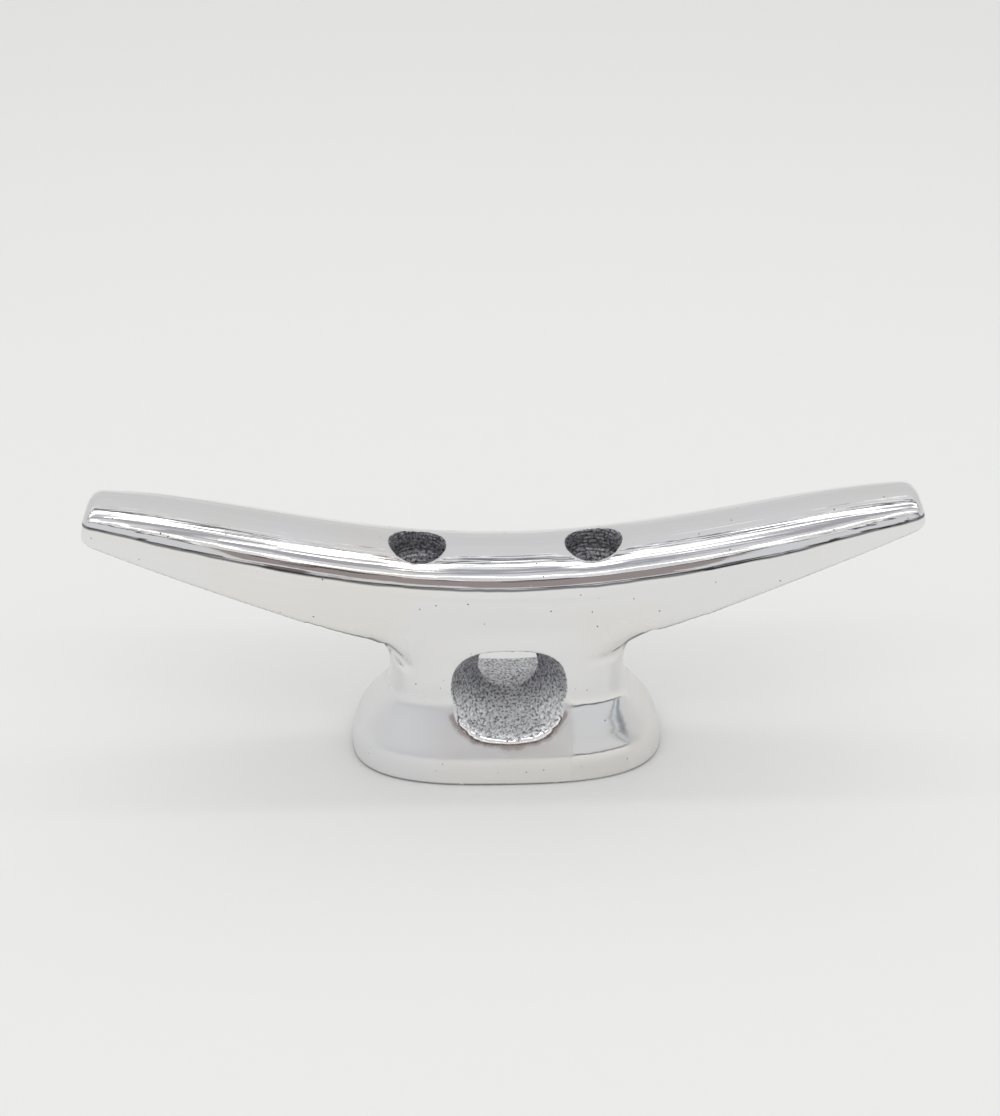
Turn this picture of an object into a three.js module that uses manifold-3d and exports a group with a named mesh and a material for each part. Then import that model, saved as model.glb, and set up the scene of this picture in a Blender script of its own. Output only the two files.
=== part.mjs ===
// Horn cleat, 152 mm (6 in): one polished aluminium casting with an open rope eye and two bolt holes.
// Millimetres, +Z up. The origin is the centre of the foot's flat underside, +X runs along the horns.
import * as THREE from "three";
import { mergeVertices } from "three/addons/utils/BufferGeometryUtils.js";
import Module from "manifold-3d";

// Horns
const OVERALL_LENGTH = 152;
const CROWN_MIDDLE = 46; // height of the crown between the bolt holes
const CROWN_RISE = 11.3; // how much higher the crown is at the tips
const HALF_WIDTH_MIDDLE = 8.7;
const HALF_WIDTH_TIP = 5.3;
const KEEL_MIDDLE = 16.5; // where the straight undersides of the two horns would meet
const KEEL_TIP = 51.2;
const CROWN_RADIUS_SHARE = 1.72; // of the half width
const SHOULDER_RADIUS_SHARE = 0.41; // of the half width
const SIDE_DRAFT = THREE.MathUtils.degToRad(3);
const KEEL_EDGE_RADIUS = 0.9;
const TIP_LEAN = Math.tan(THREE.MathUtils.degToRad(17));
const TIP_ROUNDING = { length: 3.2, crown: 2.6, side: 1.3, keel: 0.5 };

// Pedestal: half length, half depth and height of the rings from the foot up to inside the horns
const PEDESTAL_RINGS = [
  new THREE.Vector3(30.6, 15.2, 0),
  new THREE.Vector3(30.5, 15.1, 2),
  new THREE.Vector3(29.6, 14.4, 5),
  new THREE.Vector3(26.9, 12.2, 9),
  new THREE.Vector3(24.0, 10.0, 13.6),
  new THREE.Vector3(22.5, 8.8, 19),
  new THREE.Vector3(22.6, 8.5, 23.6),
  new THREE.Vector3(23.6, 8.4, 27),
  new THREE.Vector3(26.2, 8.3, 29.6),
  new THREE.Vector3(27.5, 8.2, 32.5),
];
const FOOT_SQUARENESS = 2.8; // superellipse power of the foot's outline
const NECK_SQUARENESS = 4.6;

// Rope eye: a tunnel along Y, round in the middle and flared to rounded squares at both mouths
const EYE_HEIGHT = 18.2;
const EYE_WAIST_RADIUS = 5.8;
const EYE_MOUTH = { halfWidth: 11.9, halfHeight: 10, at: 10 };
const EYE_FLARE_POWER = 1.15; // near 1 makes the waist an edge between two funnels
const EYE_LIP_FLARE = 0.3; // widening per millimetre outside the mouth
const EYE_LENGTH = 36;
const EYE_MOUTH_SQUARENESS = 3;

// Bolt holes: a cast pocket for the head over a straight clearance hole
const BOLT_SPACING = 32.2;
const BOLT_CLEARANCE_RADIUS = 3.3;
const POCKET_RADIUS = { mouth: 5.3, floor: 4.9 };
const POCKET_DEPTH = 5;
const POCKET_CONE_DEPTH = 3;

// Fineness of the surfaces
const HORN_STATIONS = 46;
const TIP_STATIONS = 4;
const ARC_STEPS = 3;
const PEDESTAL_SIDES = 56;
const PEDESTAL_LEVELS = 22;
const EYE_SIDES = 36;
const EYE_LEVELS = 22;
const HOLE_SIDES = 28;

const wasm = await Module();
wasm.setup();

// Closed solid through a list of rings, each with the same number of points.
function loft(rings) {
  const sides = rings[0].length;
  const levels = rings.length - 1;
  const skin = new THREE.CylinderGeometry(1, 1, 1, sides, levels);
  const place = skin.getAttribute("position");
  for (let i = 0; i < place.count; i++) {
    const ring = rings[Math.round((place.getY(i) + 0.5) * levels)];
    const isCapCentre = Math.hypot(place.getX(i), place.getZ(i)) < 0.5;
    const turn = Math.atan2(place.getX(i), place.getZ(i)) / (2 * Math.PI);
    const point = isCapCentre ? centreOf(ring) : ring[Math.round((turn + 1) * sides) % sides];
    place.setXYZ(i, point.x, point.y, point.z);
  }
  return skin;
}

function centreOf(ring) {
  const sum = new THREE.Vector3();
  ring.forEach((point) => sum.add(point));
  return sum.divideScalar(ring.length);
}

// The closed mesh as a manifold-3d solid, whichever way its faces were wound.
function toSolid(geometry) {
  geometry.deleteAttribute("normal");
  geometry.deleteAttribute("uv");
  const merged = mergeVertices(geometry, 1e-4);
  const vertProperties = merged.getAttribute("position").array;
  const triVerts = new Uint32Array(merged.index.array);
  const solid = new wasm.Manifold(new wasm.Mesh({ numProp: 3, vertProperties, triVerts }));
  if (solid.volume() > 0) return solid;
  return new wasm.Manifold(new wasm.Mesh({ numProp: 3, vertProperties, triVerts: triVerts.reverse() }));
}

function toGeometry(solid) {
  const mesh = solid.getMesh();
  const geometry = new THREE.BufferGeometry();
  geometry.setAttribute("position", new THREE.BufferAttribute(new Float32Array(mesh.vertProperties), 3));
  geometry.setIndex(new THREE.BufferAttribute(new Uint32Array(mesh.triVerts), 1));
  geometry.computeVertexNormals();
  return geometry;
}

// Size of the horn's cross-section at a share t of the way from the middle (0) to a tip (1).
function hornSection(t) {
  return {
    crown: CROWN_MIDDLE + CROWN_RISE * (1.73 * t ** 2 - 0.73 * t ** 4),
    keel: THREE.MathUtils.lerp(KEEL_MIDDLE, KEEL_TIP, 1.12 * t - 0.12 * t ** 2),
    halfWidth: HALF_WIDTH_MIDDLE - (HALF_WIDTH_MIDDLE - HALF_WIDTH_TIP) * t ** 4,
  };
}

// Outline of a cross-section in the YZ plane: crowned top, round shoulders, drafted sides, flat keel.
function hornOutline({ crown, keel, halfWidth }) {
  const crownRadius = CROWN_RADIUS_SHARE * halfWidth;
  const shoulderRadius = SHOULDER_RADIUS_SHARE * halfWidth;
  const gap = crownRadius - shoulderRadius;
  const shoulderStart = Math.acos((halfWidth - shoulderRadius) / gap);
  const shoulderY = gap * Math.cos(shoulderStart);
  const shoulderZ = crown - crownRadius + gap * Math.sin(shoulderStart);
  const edgeZ = keel + KEEL_EDGE_RADIUS;
  const sideRun = (edgeZ - shoulderZ) * Math.sin(SIDE_DRAFT) + shoulderRadius - KEEL_EDGE_RADIUS;
  const edgeY = shoulderY + sideRun / Math.cos(SIDE_DRAFT);
  const outline = new THREE.Path();
  outline.absarc(0, crown - crownRadius, crownRadius, Math.PI - shoulderStart, shoulderStart, true);
  outline.absarc(shoulderY, shoulderZ, shoulderRadius, shoulderStart, -SIDE_DRAFT, true);
  outline.absarc(edgeY, edgeZ, KEEL_EDGE_RADIUS, -SIDE_DRAFT, -Math.PI / 2, true);
  outline.absarc(-edgeY, edgeZ, KEEL_EDGE_RADIUS, -Math.PI / 2, SIDE_DRAFT - Math.PI, true);
  outline.absarc(-shoulderY, shoulderZ, shoulderRadius, Math.PI + SIDE_DRAFT, Math.PI - shoulderStart, true);
  return outline.getPoints(ARC_STEPS).slice(0, -1);
}

// Ring of the horn whose keel is at x. Towards the tips the rings lean inwards, so the ends are cut
// square to the rising horn.
function hornRing(x, section) {
  const half = OVERALL_LENGTH / 2;
  const lean = Math.sign(x) * TIP_LEAN * Math.abs(x / half) ** 3;
  return hornOutline(section).map(({ x: y, y: z }) => new THREE.Vector3(x - lean * (z - section.keel), y, z));
}

// Rings that round off the tip on the given side (-1 or 1), from the body out to the end face.
function tipRings(side) {
  const half = OVERALL_LENGTH / 2;
  return Array.from({ length: TIP_STATIONS }, (_, i) => {
    const angle = ((i + 1) / TIP_STATIONS) * (Math.PI / 2);
    const x = half - TIP_ROUNDING.length * (1 - Math.sin(angle));
    const section = hornSection(x / half);
    const taken = 1 - Math.cos(angle);
    section.crown -= TIP_ROUNDING.crown * taken;
    section.halfWidth -= TIP_ROUNDING.side * taken;
    section.keel += TIP_ROUNDING.keel * taken;
    return hornRing(side * x, section);
  });
}

function hornSolid() {
  const reach = OVERALL_LENGTH / 2 - TIP_ROUNDING.length;
  const body = Array.from({ length: HORN_STATIONS + 1 }, (_, i) => {
    const x = reach * ((2 * i) / HORN_STATIONS - 1);
    return hornRing(x, hornSection(Math.abs(x) / (OVERALL_LENGTH / 2)));
  });
  return toSolid(loft([...tipRings(-1).reverse(), ...body, ...tipRings(1)]));
}

// Superellipse round the origin of two axes, as pairs that the caller turns into points.
function superellipse(sides, halfWidth, halfHeight, squareness) {
  const bend = (v) => Math.sign(v) * Math.abs(v) ** (2 / squareness);
  return Array.from({ length: sides }, (_, i) => {
    const angle = (2 * Math.PI * (i + 0.5)) / sides;
    return [halfWidth * bend(Math.cos(angle)), halfHeight * bend(Math.sin(angle))];
  });
}

function pedestalSolid() {
  const profile = new THREE.CatmullRomCurve3(PEDESTAL_RINGS, false, "centripetal");
  const top = PEDESTAL_RINGS.at(-1).z;
  const rings = profile.getPoints(PEDESTAL_LEVELS).map(({ x: halfLength, y: halfDepth, z }) => {
    const squareness = THREE.MathUtils.lerp(FOOT_SQUARENESS, NECK_SQUARENESS, z / top);
    const outline = superellipse(PEDESTAL_SIDES, halfLength, halfDepth, squareness);
    return outline.map(([x, y]) => new THREE.Vector3(x, y, z));
  });
  return toSolid(loft(rings));
}

function ropeEyeCutter() {
  const rings = Array.from({ length: EYE_LEVELS + 1 }, (_, i) => {
    const y = EYE_LENGTH * (i / EYE_LEVELS - 0.5);
    const flare = Math.min(1, Math.abs(y) / EYE_MOUTH.at) ** EYE_FLARE_POWER;
    const outside = Math.max(0, Math.abs(y) - EYE_MOUTH.at) * EYE_LIP_FLARE;
    const halfWidth = THREE.MathUtils.lerp(EYE_WAIST_RADIUS, EYE_MOUTH.halfWidth, flare) + outside;
    const halfHeight = THREE.MathUtils.lerp(EYE_WAIST_RADIUS, EYE_MOUTH.halfHeight, flare) + outside;
    const squareness = THREE.MathUtils.lerp(2, EYE_MOUTH_SQUARENESS, flare);
    const outline = superellipse(EYE_SIDES, halfWidth, halfHeight, squareness);
    return outline.map(([x, z]) => new THREE.Vector3(x, y, EYE_HEIGHT + z));
  });
  return toSolid(loft(rings));
}

function boltHoleCutter(x) {
  const rim = hornSection((2 * Math.abs(x)) / OVERALL_LENGTH).crown;
  const below = -5;
  const above = CROWN_MIDDLE + 10;
  const profile = [
    new THREE.Vector2(0, below),
    new THREE.Vector2(BOLT_CLEARANCE_RADIUS, below),
    new THREE.Vector2(BOLT_CLEARANCE_RADIUS, rim - POCKET_DEPTH - POCKET_CONE_DEPTH),
    new THREE.Vector2(POCKET_RADIUS.floor, rim - POCKET_DEPTH),
    new THREE.Vector2(POCKET_RADIUS.mouth, rim),
    new THREE.Vector2(POCKET_RADIUS.mouth, above),
    new THREE.Vector2(0, above),
  ];
  const cutter = new THREE.LatheGeometry(profile, HOLE_SIDES);
  cutter.rotateX(Math.PI / 2);
  cutter.translate(x, 0, 0);
  return toSolid(cutter);
}

function castingSolid() {
  let casting = hornSolid().add(pedestalSolid()).subtract(ropeEyeCutter());
  for (const side of [-1, 1]) {
    casting = casting.subtract(boltHoleCutter((side * BOLT_SPACING) / 2));
  }
  return casting;
}

function polishedAluminium() {
  return new THREE.MeshStandardMaterial({ color: 0xd9d9db, roughness: 0.18, metalness: 1 });
}

const casting = new THREE.Mesh(toGeometry(castingSolid()), polishedAluminium());
casting.name = "cleat_casting";

const cleat = new THREE.Group();
cleat.add(casting);
export default cleat;
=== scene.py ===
"""Horn cleat, 152 mm: the finished look of a one-piece casting in hand-polished aluminium.

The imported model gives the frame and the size. This file models the casting's smooth skin round it, with the
rough cast surface left inside the rope eye and the bolt holes, and sets it on a pale floor in soft light.
"""

import logging
import math
from collections.abc import Iterable, Sequence
from dataclasses import dataclass, field
from enum import Enum

import bmesh
import bpy
from mathutils import Matrix, Vector, kdtree, noise


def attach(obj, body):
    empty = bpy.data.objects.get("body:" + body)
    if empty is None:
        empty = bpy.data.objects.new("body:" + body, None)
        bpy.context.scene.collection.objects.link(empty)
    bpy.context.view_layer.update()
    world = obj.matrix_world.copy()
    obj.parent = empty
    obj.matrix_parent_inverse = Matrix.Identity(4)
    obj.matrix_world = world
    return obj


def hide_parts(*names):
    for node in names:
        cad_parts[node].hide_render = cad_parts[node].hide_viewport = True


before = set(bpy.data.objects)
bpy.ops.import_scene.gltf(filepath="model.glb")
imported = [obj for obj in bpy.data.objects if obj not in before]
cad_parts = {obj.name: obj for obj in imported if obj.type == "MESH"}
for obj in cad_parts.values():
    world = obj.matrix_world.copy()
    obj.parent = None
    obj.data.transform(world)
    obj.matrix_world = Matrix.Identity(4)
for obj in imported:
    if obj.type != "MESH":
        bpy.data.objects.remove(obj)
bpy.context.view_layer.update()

MM = 0.001
WELD = 0.001 * MM  # vertices closer than this are one
NODE = "cleat_casting"

log = logging.getLogger("cleat")


class Skin(Enum):
    """The two finishes of the casting, by the index of their material slot."""

    POLISHED = 0
    AS_CAST = 1


def linear(hex_colour: str) -> tuple[float, float, float, float]:
    """Turns an sRGB hex colour into a linear one.

    Args:
        hex_colour: Six hex digits, with or without a leading hash.

    Returns:
        Linear red, green and blue, and an alpha of 1.
    """
    digits = hex_colour.lstrip("#")
    channels = [int(digits[i : i + 2], 16) / 255 for i in (0, 2, 4)]
    red, green, blue = (c / 12.92 if c <= 0.04045 else ((c + 0.055) / 1.055) ** 2.4 for c in channels)
    return red, green, blue, 1.0


def mix(start: float, stop: float, share: float) -> float:
    """Returns the value at a share of the way from start to stop."""
    return start + (stop - start) * share


def fade(low: float, high: float, value: float) -> float:
    """Returns 0 below low, 1 above high, and a smooth step between them."""
    share = min(1.0, max(0.0, (value - low) / (high - low)))
    return share * share * (3 - 2 * share)


def add_node(
    tree: bpy.types.NodeTree,
    kind: str,
    settings: dict[str | int, object] | None = None,
    links: dict[str | int, bpy.types.NodeSocket] | None = None,
) -> bpy.types.Node:
    """Adds a shader node with its settings and links.

    Args:
        tree: The node tree that gets it.
        kind: The node's type name.
        settings: Values by the name or index of an input, or by the name of a property.
        links: Output sockets by the name or index of the input that they feed.

    Returns:
        The new node.
    """
    made = tree.nodes.new(kind)
    for name, value in (settings or {}).items():
        if isinstance(name, int) or name in made.inputs:
            made.inputs[name].default_value = value
        else:
            setattr(made, name, value)
    for name, source in (links or {}).items():
        tree.links.new(source, made.inputs[name])
    return made


def new_material(name: str) -> tuple[bpy.types.Material, bpy.types.NodeTree, bpy.types.Node]:
    """Makes an empty material.

    Args:
        name: The material's name.

    Returns:
        The material, its node tree and its output node.
    """
    material = bpy.data.materials.new(name)
    material.use_nodes = True
    material.node_tree.nodes.clear()
    return material, material.node_tree, add_node(material.node_tree, "ShaderNodeOutputMaterial")


def set_ramp(ramp: bpy.types.Node, stops: Sequence[tuple[float, str]]) -> None:
    """Gives a colour ramp its stops.

    Args:
        ramp: The colour ramp node.
        stops: Positions from 0 to 1, each with an sRGB hex colour.
    """
    elements = ramp.color_ramp.elements
    while len(elements) < len(stops):
        elements.new(1.0)
    for element, (position, colour) in zip(elements, stops):
        element.position = position
        element.color = linear(colour)


@dataclass(frozen=True)
class PolishedAluminium:
    """Sand-cast aluminium, ground and buffed by hand along its length.

    It mirrors its surroundings softly. Lines from the buffing wheel run along the horns, and small casting
    pores stay open in it as dark pits. Where the wheel can't reach well, the metal stays scratched and dull.
    The downward faces are painted darker as shade, and a thin dark reflection is painted under the shoulders.
    """

    name: str = "polished_cast_aluminium"
    colour: str = "#ECECEC"
    warm_colour: str = "#ECEAE6"
    tint_mm: float = 30.0
    tint_limits: tuple[float, float] = (0.45, 0.62)
    pore_colour: str = "#4E4A48"
    # The colour of the painted dark reflection line under the shoulders.
    painted_reflection_colour: str = "#5A5A5E"
    # Painted shade: the downward faces are painted this darker grey.
    underside_shade_colour: str = "#96969A"
    underside_shade_from: float = 0.8
    # The width, core, patchiness and strength of the painted reflection line.
    seam_width_mm: float = 0.42
    seam_core: float = 0.3
    seam_patch_mm: float = 9.0
    seam_share: float = 0.85
    roughness: float = 0.055
    cloudy_roughness: float = 0.11
    cloud_mm: float = 14.0
    cloud_limits: tuple[float, float] = (0.42, 0.7)
    dull_roughness: float = 0.5
    # The wheel's broad bands are real. Its fine lines are a few hundredths of a millimetre apart, and are
    # drawn coarser so that they show.
    band_spacing_mm: float = 1.3
    band_length_mm: float = 60.0
    band_depth_mm: float = 0.14
    line_spacing_mm: float = 0.4
    line_length_mm: float = 16.0
    line_depth_mm: float = 0.025
    pressed_from_mm: float = 14.0
    pressed_to_mm: float = 7.0
    pressed_least: float = 0.15
    pore_spacing_mm: float = 2.6
    pore_radius_mm: float = 0.18
    pore_core: float = 0.45
    pore_depth_mm: float = 0.08
    porous_area_mm: float = 16.0
    porous_limits: tuple[float, float] = (0.42, 0.48)

    def build(self) -> bpy.types.Material:
        """Builds the material.

        Returns:
            The material.
        """
        material, tree, output = new_material(self.name)
        place = add_node(tree, "ShaderNodeTexCoord").outputs["Object"]
        wear_and_painted_light = add_node(tree, "ShaderNodeAttribute", {"attribute_name": "wear_and_painted_light"}).outputs["Fac"]
        pores = self.pores(tree, place)
        tint = add_node(
            tree, "ShaderNodeTexNoise", {"Scale": 1 / (self.tint_mm * MM), "Detail": 2.0}, {"Vector": place}
        )
        tone = add_node(tree, "ShaderNodeValToRGB", links={"Fac": tint.outputs["Fac"]})
        set_ramp(tone, list(zip(self.tint_limits, (self.colour, self.warm_colour))))
        # Painted shade: the downward faces go darker.
        painted_underside_shade = add_node(
            tree, "ShaderNodeMapRange", {"From Min": self.underside_shade_from, "From Max": 1.0}, {"Value": wear_and_painted_light}
        )
        colour = tone.outputs["Color"]
        for share, over in (
            (painted_underside_shade.outputs["Result"], self.underside_shade_colour),
            # Painted reflection: the dark line under the shoulders.
            (self.seam(tree, place), self.painted_reflection_colour),
            (pores, self.pore_colour),
        ):
            mixed = add_node(
                tree, "ShaderNodeMix", {"data_type": "RGBA", 7: linear(over)}, {0: share, 6: colour}
            )
            colour = mixed.outputs[2]
        normal: dict[str, bpy.types.NodeSocket] = {}
        for height, depth_mm in (
            (self.drawn(tree, self.band_spacing_mm, self.band_length_mm), self.band_depth_mm),
            (self.drawn(tree, self.line_spacing_mm, self.line_length_mm), self.line_depth_mm),
            (pores, -self.pore_depth_mm),
        ):
            bump = add_node(
                tree,
                "ShaderNodeBump",
                {"Distance": abs(depth_mm) * MM, "Strength": 1.0, "invert": depth_mm < 0},
                {"Height": height, **normal},
            )
            normal = {"Normal": bump.outputs["Normal"]}
        shader = add_node(
            tree,
            "ShaderNodeBsdfPrincipled",
            {"Metallic": 1.0},
            {"Base Color": colour, "Roughness": self.haze(tree, place, wear_and_painted_light), **normal},
        )
        tree.links.new(shader.outputs["BSDF"], output.inputs["Surface"])
        return material

    def seam(self, tree: bpy.types.NodeTree, place: bpy.types.NodeSocket) -> bpy.types.NodeSocket:
        """Finds the thin line under the shoulders where a dark reflection of the horizon is painted.

        Args:
            tree: The material's node tree.
            place: The place on the casting.

        Returns:
            A share of painted dark reflection on the line, and 0 off it.
        """
        below = add_node(tree, "ShaderNodeAttribute", {"attribute_name": "below_seam"}).outputs["Fac"]
        patchy = add_node(
            tree,
            "ShaderNodeTexNoise",
            {"Scale": 1 / (self.seam_patch_mm * MM), "Detail": 2.0},
            {"Vector": place},
        )
        centre = add_node(
            tree,
            "ShaderNodeMapRange",
            {"To Min": -self.seam_width_mm, "To Max": self.seam_width_mm},
            {"Value": patchy.outputs["Fac"]},
        )
        away = add_node(
            tree, "ShaderNodeMath", {"operation": "SUBTRACT"}, {0: below, 1: centre.outputs["Result"]}
        )
        side = add_node(tree, "ShaderNodeMath", {"operation": "ABSOLUTE"}, {0: away.outputs["Value"]})
        line = add_node(
            tree,
            "ShaderNodeMapRange",
            {
                "From Min": self.seam_width_mm,
                "From Max": self.seam_width_mm * self.seam_core,
                "To Max": self.seam_share,
            },
            {"Value": side.outputs["Value"]},
        )
        return line.outputs["Result"]

    def haze(
        self, tree: bpy.types.NodeTree, place: bpy.types.NodeSocket, wear_and_painted_light: bpy.types.NodeSocket
    ) -> bpy.types.NodeSocket:
        """Makes the roughness: clear and cloudy patches, and dull metal where the wheel didn't reach.

        Args:
            tree: The material's node tree.
            place: The place on the casting.
            wear_and_painted_light: How dull the metal is, from 0 to 1.

        Returns:
            The roughness.
        """
        handled = add_node(
            tree, "ShaderNodeTexNoise", {"Scale": 1 / (self.cloud_mm * MM), "Detail": 3.0}, {"Vector": place}
        )
        cloudy = add_node(
            tree,
            "ShaderNodeMapRange",
            {
                "From Min": self.cloud_limits[0],
                "From Max": self.cloud_limits[1],
                "To Min": self.roughness,
                "To Max": self.cloudy_roughness,
            },
            {"Value": handled.outputs["Fac"]},
        )
        dull = add_node(
            tree,
            "ShaderNodeMix",
            {"data_type": "FLOAT", 3: self.dull_roughness},
            {0: wear_and_painted_light, 2: cloudy.outputs["Result"]},
        )
        return dull.outputs[0]

    def drawn(self, tree: bpy.types.NodeTree, spacing_mm: float, length_mm: float) -> bpy.types.NodeSocket:
        """Draws long lines along the horns, cut deepest at the shoulders.

        Args:
            tree: The material's node tree.
            spacing_mm: The lines' spacing in millimetres.
            length_mm: The lines' length in millimetres.

        Returns:
            The lines' height.
        """
        across = 1 / (spacing_mm * MM)
        place = add_node(tree, "ShaderNodeAttribute", {"attribute_name": "buffed"}).outputs["Vector"]
        scaled = add_node(
            tree, "ShaderNodeMapping", {"Scale": (1 / (length_mm * MM), across, across)}, {"Vector": place}
        )
        grain = add_node(
            tree,
            "ShaderNodeTexNoise",
            {"Scale": 1.0, "Detail": 1.0, "Roughness": 0.5},
            {"Vector": scaled.outputs[0]},
        )
        height = add_node(tree, "ShaderNodeSeparateXYZ", links={"Vector": place}).outputs["Z"]
        pressed = add_node(
            tree,
            "ShaderNodeMapRange",
            {
                "From Min": -self.pressed_from_mm * MM,
                "From Max": -self.pressed_to_mm * MM,
                "To Min": self.pressed_least,
            },
            {"Value": height},
        )
        cut = add_node(
            tree,
            "ShaderNodeMath",
            {"operation": "MULTIPLY"},
            {0: grain.outputs["Fac"], 1: pressed.outputs["Result"]},
        )
        return cut.outputs["Value"]

    def pores(self, tree: bpy.types.NodeTree, place: bpy.types.NodeSocket) -> bpy.types.NodeSocket:
        """Scatters open casting pores over parts of the surface.

        Args:
            tree: The material's node tree.
            place: The place on the casting.

        Returns:
            1 inside the pores and 0 between them.
        """
        cells = add_node(
            tree,
            "ShaderNodeTexVoronoi",
            {"Scale": 1 / (self.pore_spacing_mm * MM), "Randomness": 1.0},
            {"Vector": place},
        )
        reach = self.pore_radius_mm / self.pore_spacing_mm
        inside = add_node(
            tree,
            "ShaderNodeMapRange",
            {"From Min": reach, "From Max": reach * self.pore_core},
            {"Value": cells.outputs["Distance"]},
        )
        area = add_node(
            tree,
            "ShaderNodeTexNoise",
            {"Scale": 1 / (self.porous_area_mm * MM), "Detail": 1.0},
            {"Vector": place},
        )
        porous = add_node(
            tree,
            "ShaderNodeMapRange",
            {"From Min": self.porous_limits[0], "From Max": self.porous_limits[1]},
            {"Value": area.outputs["Fac"]},
        )
        both = add_node(
            tree,
            "ShaderNodeMath",
            {"operation": "MULTIPLY"},
            {0: inside.outputs["Result"], 1: porous.outputs["Result"]},
        )
        return both.outputs["Value"]


@dataclass(frozen=True)
class CastAluminium:
    """Aluminium as it left the sand mould: a dull grey, grainy skin that the buffing wheel can't reach.

    At the sills the wheel has caught the tops of the grains, which shine between dark pits. There the pits
    and the grain tops are also painted lighter, up to white, as a highlight of the lamps above, most at the
    front sill.
    """

    name: str = "sand_cast_aluminium"
    pit_colour: str = "#6F6F73"
    # Painted highlight: towards the eye's sills the pits and the grain tops are painted lighter.
    sill_lit_pit_colour: str = "#929294"
    sill_highlight_lift: float = 0.035
    skin_colour: str = "#CFCFD2"
    sill_highlight_colour: str = "#FFFFFF"
    roughness: float = 0.52
    worn_roughness: float = 0.46
    # Moulding sand is about 0.2 mm across, and its grain is drawn coarser so that it shows.
    grain_mm: float = 0.5
    grain_depth_mm: float = 0.12
    grain_limits: tuple[float, float] = (0.4, 0.56)

    def build(self) -> bpy.types.Material:
        """Builds the material.

        Returns:
            The material.
        """
        material, tree, output = new_material(self.name)
        place = add_node(tree, "ShaderNodeTexCoord").outputs["Object"]
        wear_and_painted_light = add_node(tree, "ShaderNodeAttribute", {"attribute_name": "wear_and_painted_light"}).outputs["Fac"]
        grain = add_node(
            tree,
            "ShaderNodeTexNoise",
            {"Scale": 1 / (self.grain_mm * MM), "Detail": 3.0, "Roughness": 0.6},
            {"Vector": place},
        )
        lifted = add_node(
            tree,
            "ShaderNodeMath",
            {"operation": "MULTIPLY_ADD", 1: self.sill_highlight_lift},
            {0: wear_and_painted_light, 2: grain.outputs["Fac"]},
        )
        raised = add_node(
            tree,
            "ShaderNodeMapRange",
            {"From Min": self.grain_limits[0], "From Max": self.grain_limits[1]},
            {"Value": lifted.outputs["Value"]},
        )
        tones = []
        # Painted highlight at the sills, on top of the wear.
        for plain, shiny in ((self.pit_colour, self.sill_lit_pit_colour), (self.skin_colour, self.sill_highlight_colour)):
            sill_lit_tone = add_node(
                tree,
                "ShaderNodeMix",
                {"data_type": "RGBA", 6: linear(plain), 7: linear(shiny)},
                {0: wear_and_painted_light},
            )
            tones.append(sill_lit_tone.outputs[2])
        tone = add_node(
            tree,
            "ShaderNodeMix",
            {"data_type": "RGBA"},
            {0: raised.outputs["Result"], 6: tones[0], 7: tones[1]},
        )
        relief = add_node(
            tree,
            "ShaderNodeBump",
            {"Distance": self.grain_depth_mm * MM, "Strength": 1.0},
            {"Height": grain.outputs["Fac"]},
        )
        haze = add_node(
            tree,
            "ShaderNodeMapRange",
            {"To Min": self.roughness, "To Max": self.worn_roughness},
            {"Value": wear_and_painted_light},
        )
        shader = add_node(
            tree,
            "ShaderNodeBsdfPrincipled",
            {"Metallic": 1.0},
            {
                "Base Color": tone.outputs[2],
                "Roughness": haze.outputs["Result"],
                "Normal": relief.outputs["Normal"],
            },
        )
        tree.links.new(shader.outputs["BSDF"], output.inputs["Surface"])
        return material


@dataclass(frozen=True)
class StudioPaper:
    """Matt pale paper that the cleat stands on."""

    name: str = "pale_studio_paper"
    colour: str = "#E9E9E7"
    roughness: float = 0.75
    sheen: float = 0.2

    def build(self) -> bpy.types.Material:
        """Builds the material.

        Returns:
            The material.
        """
        material, tree, output = new_material(self.name)
        shader = add_node(
            tree,
            "ShaderNodeBsdfPrincipled",
            {
                "Base Color": linear(self.colour),
                "Roughness": self.roughness,
                "Specular IOR Level": self.sheen,
            },
        )
        tree.links.new(shader.outputs["BSDF"], output.inputs["Surface"])
        return material


@dataclass(frozen=True)
class Glow:
    """An even light source that only reflections see, such as a lamp housing or a dark doorway."""

    name: str
    colour: str
    strength: float

    def build(self) -> bpy.types.Material:
        """Builds the material.

        Returns:
            The material.
        """
        material, tree, output = new_material(self.name)
        shader = add_node(
            tree, "ShaderNodeEmission", {"Color": linear(self.colour), "Strength": self.strength}
        )
        tree.links.new(shader.outputs["Emission"], output.inputs["Surface"])
        return material


def piece_of(bm: bmesh.types.BMesh, name: str) -> bpy.types.Object:
    """Turns a bmesh into an object at the origin.

    Args:
        bm: The finished bmesh, which is freed.
        name: The object's and its mesh's name.

    Returns:
        The object, linked to the scene.
    """
    mesh = bpy.data.meshes.new(name)
    bm.to_mesh(mesh)
    bm.free()
    made = bpy.data.objects.new(name, mesh)
    bpy.context.scene.collection.objects.link(made)
    return made


def settled(made: bpy.types.Object) -> None:
    """Applies an object's modifiers to its mesh and removes them.

    Args:
        made: The object.
    """
    bpy.context.view_layer.update()
    graph = bpy.context.evaluated_depsgraph_get()
    finished = bpy.data.meshes.new_from_object(made.evaluated_get(graph))
    made.modifiers.clear()
    made.data = finished


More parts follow.
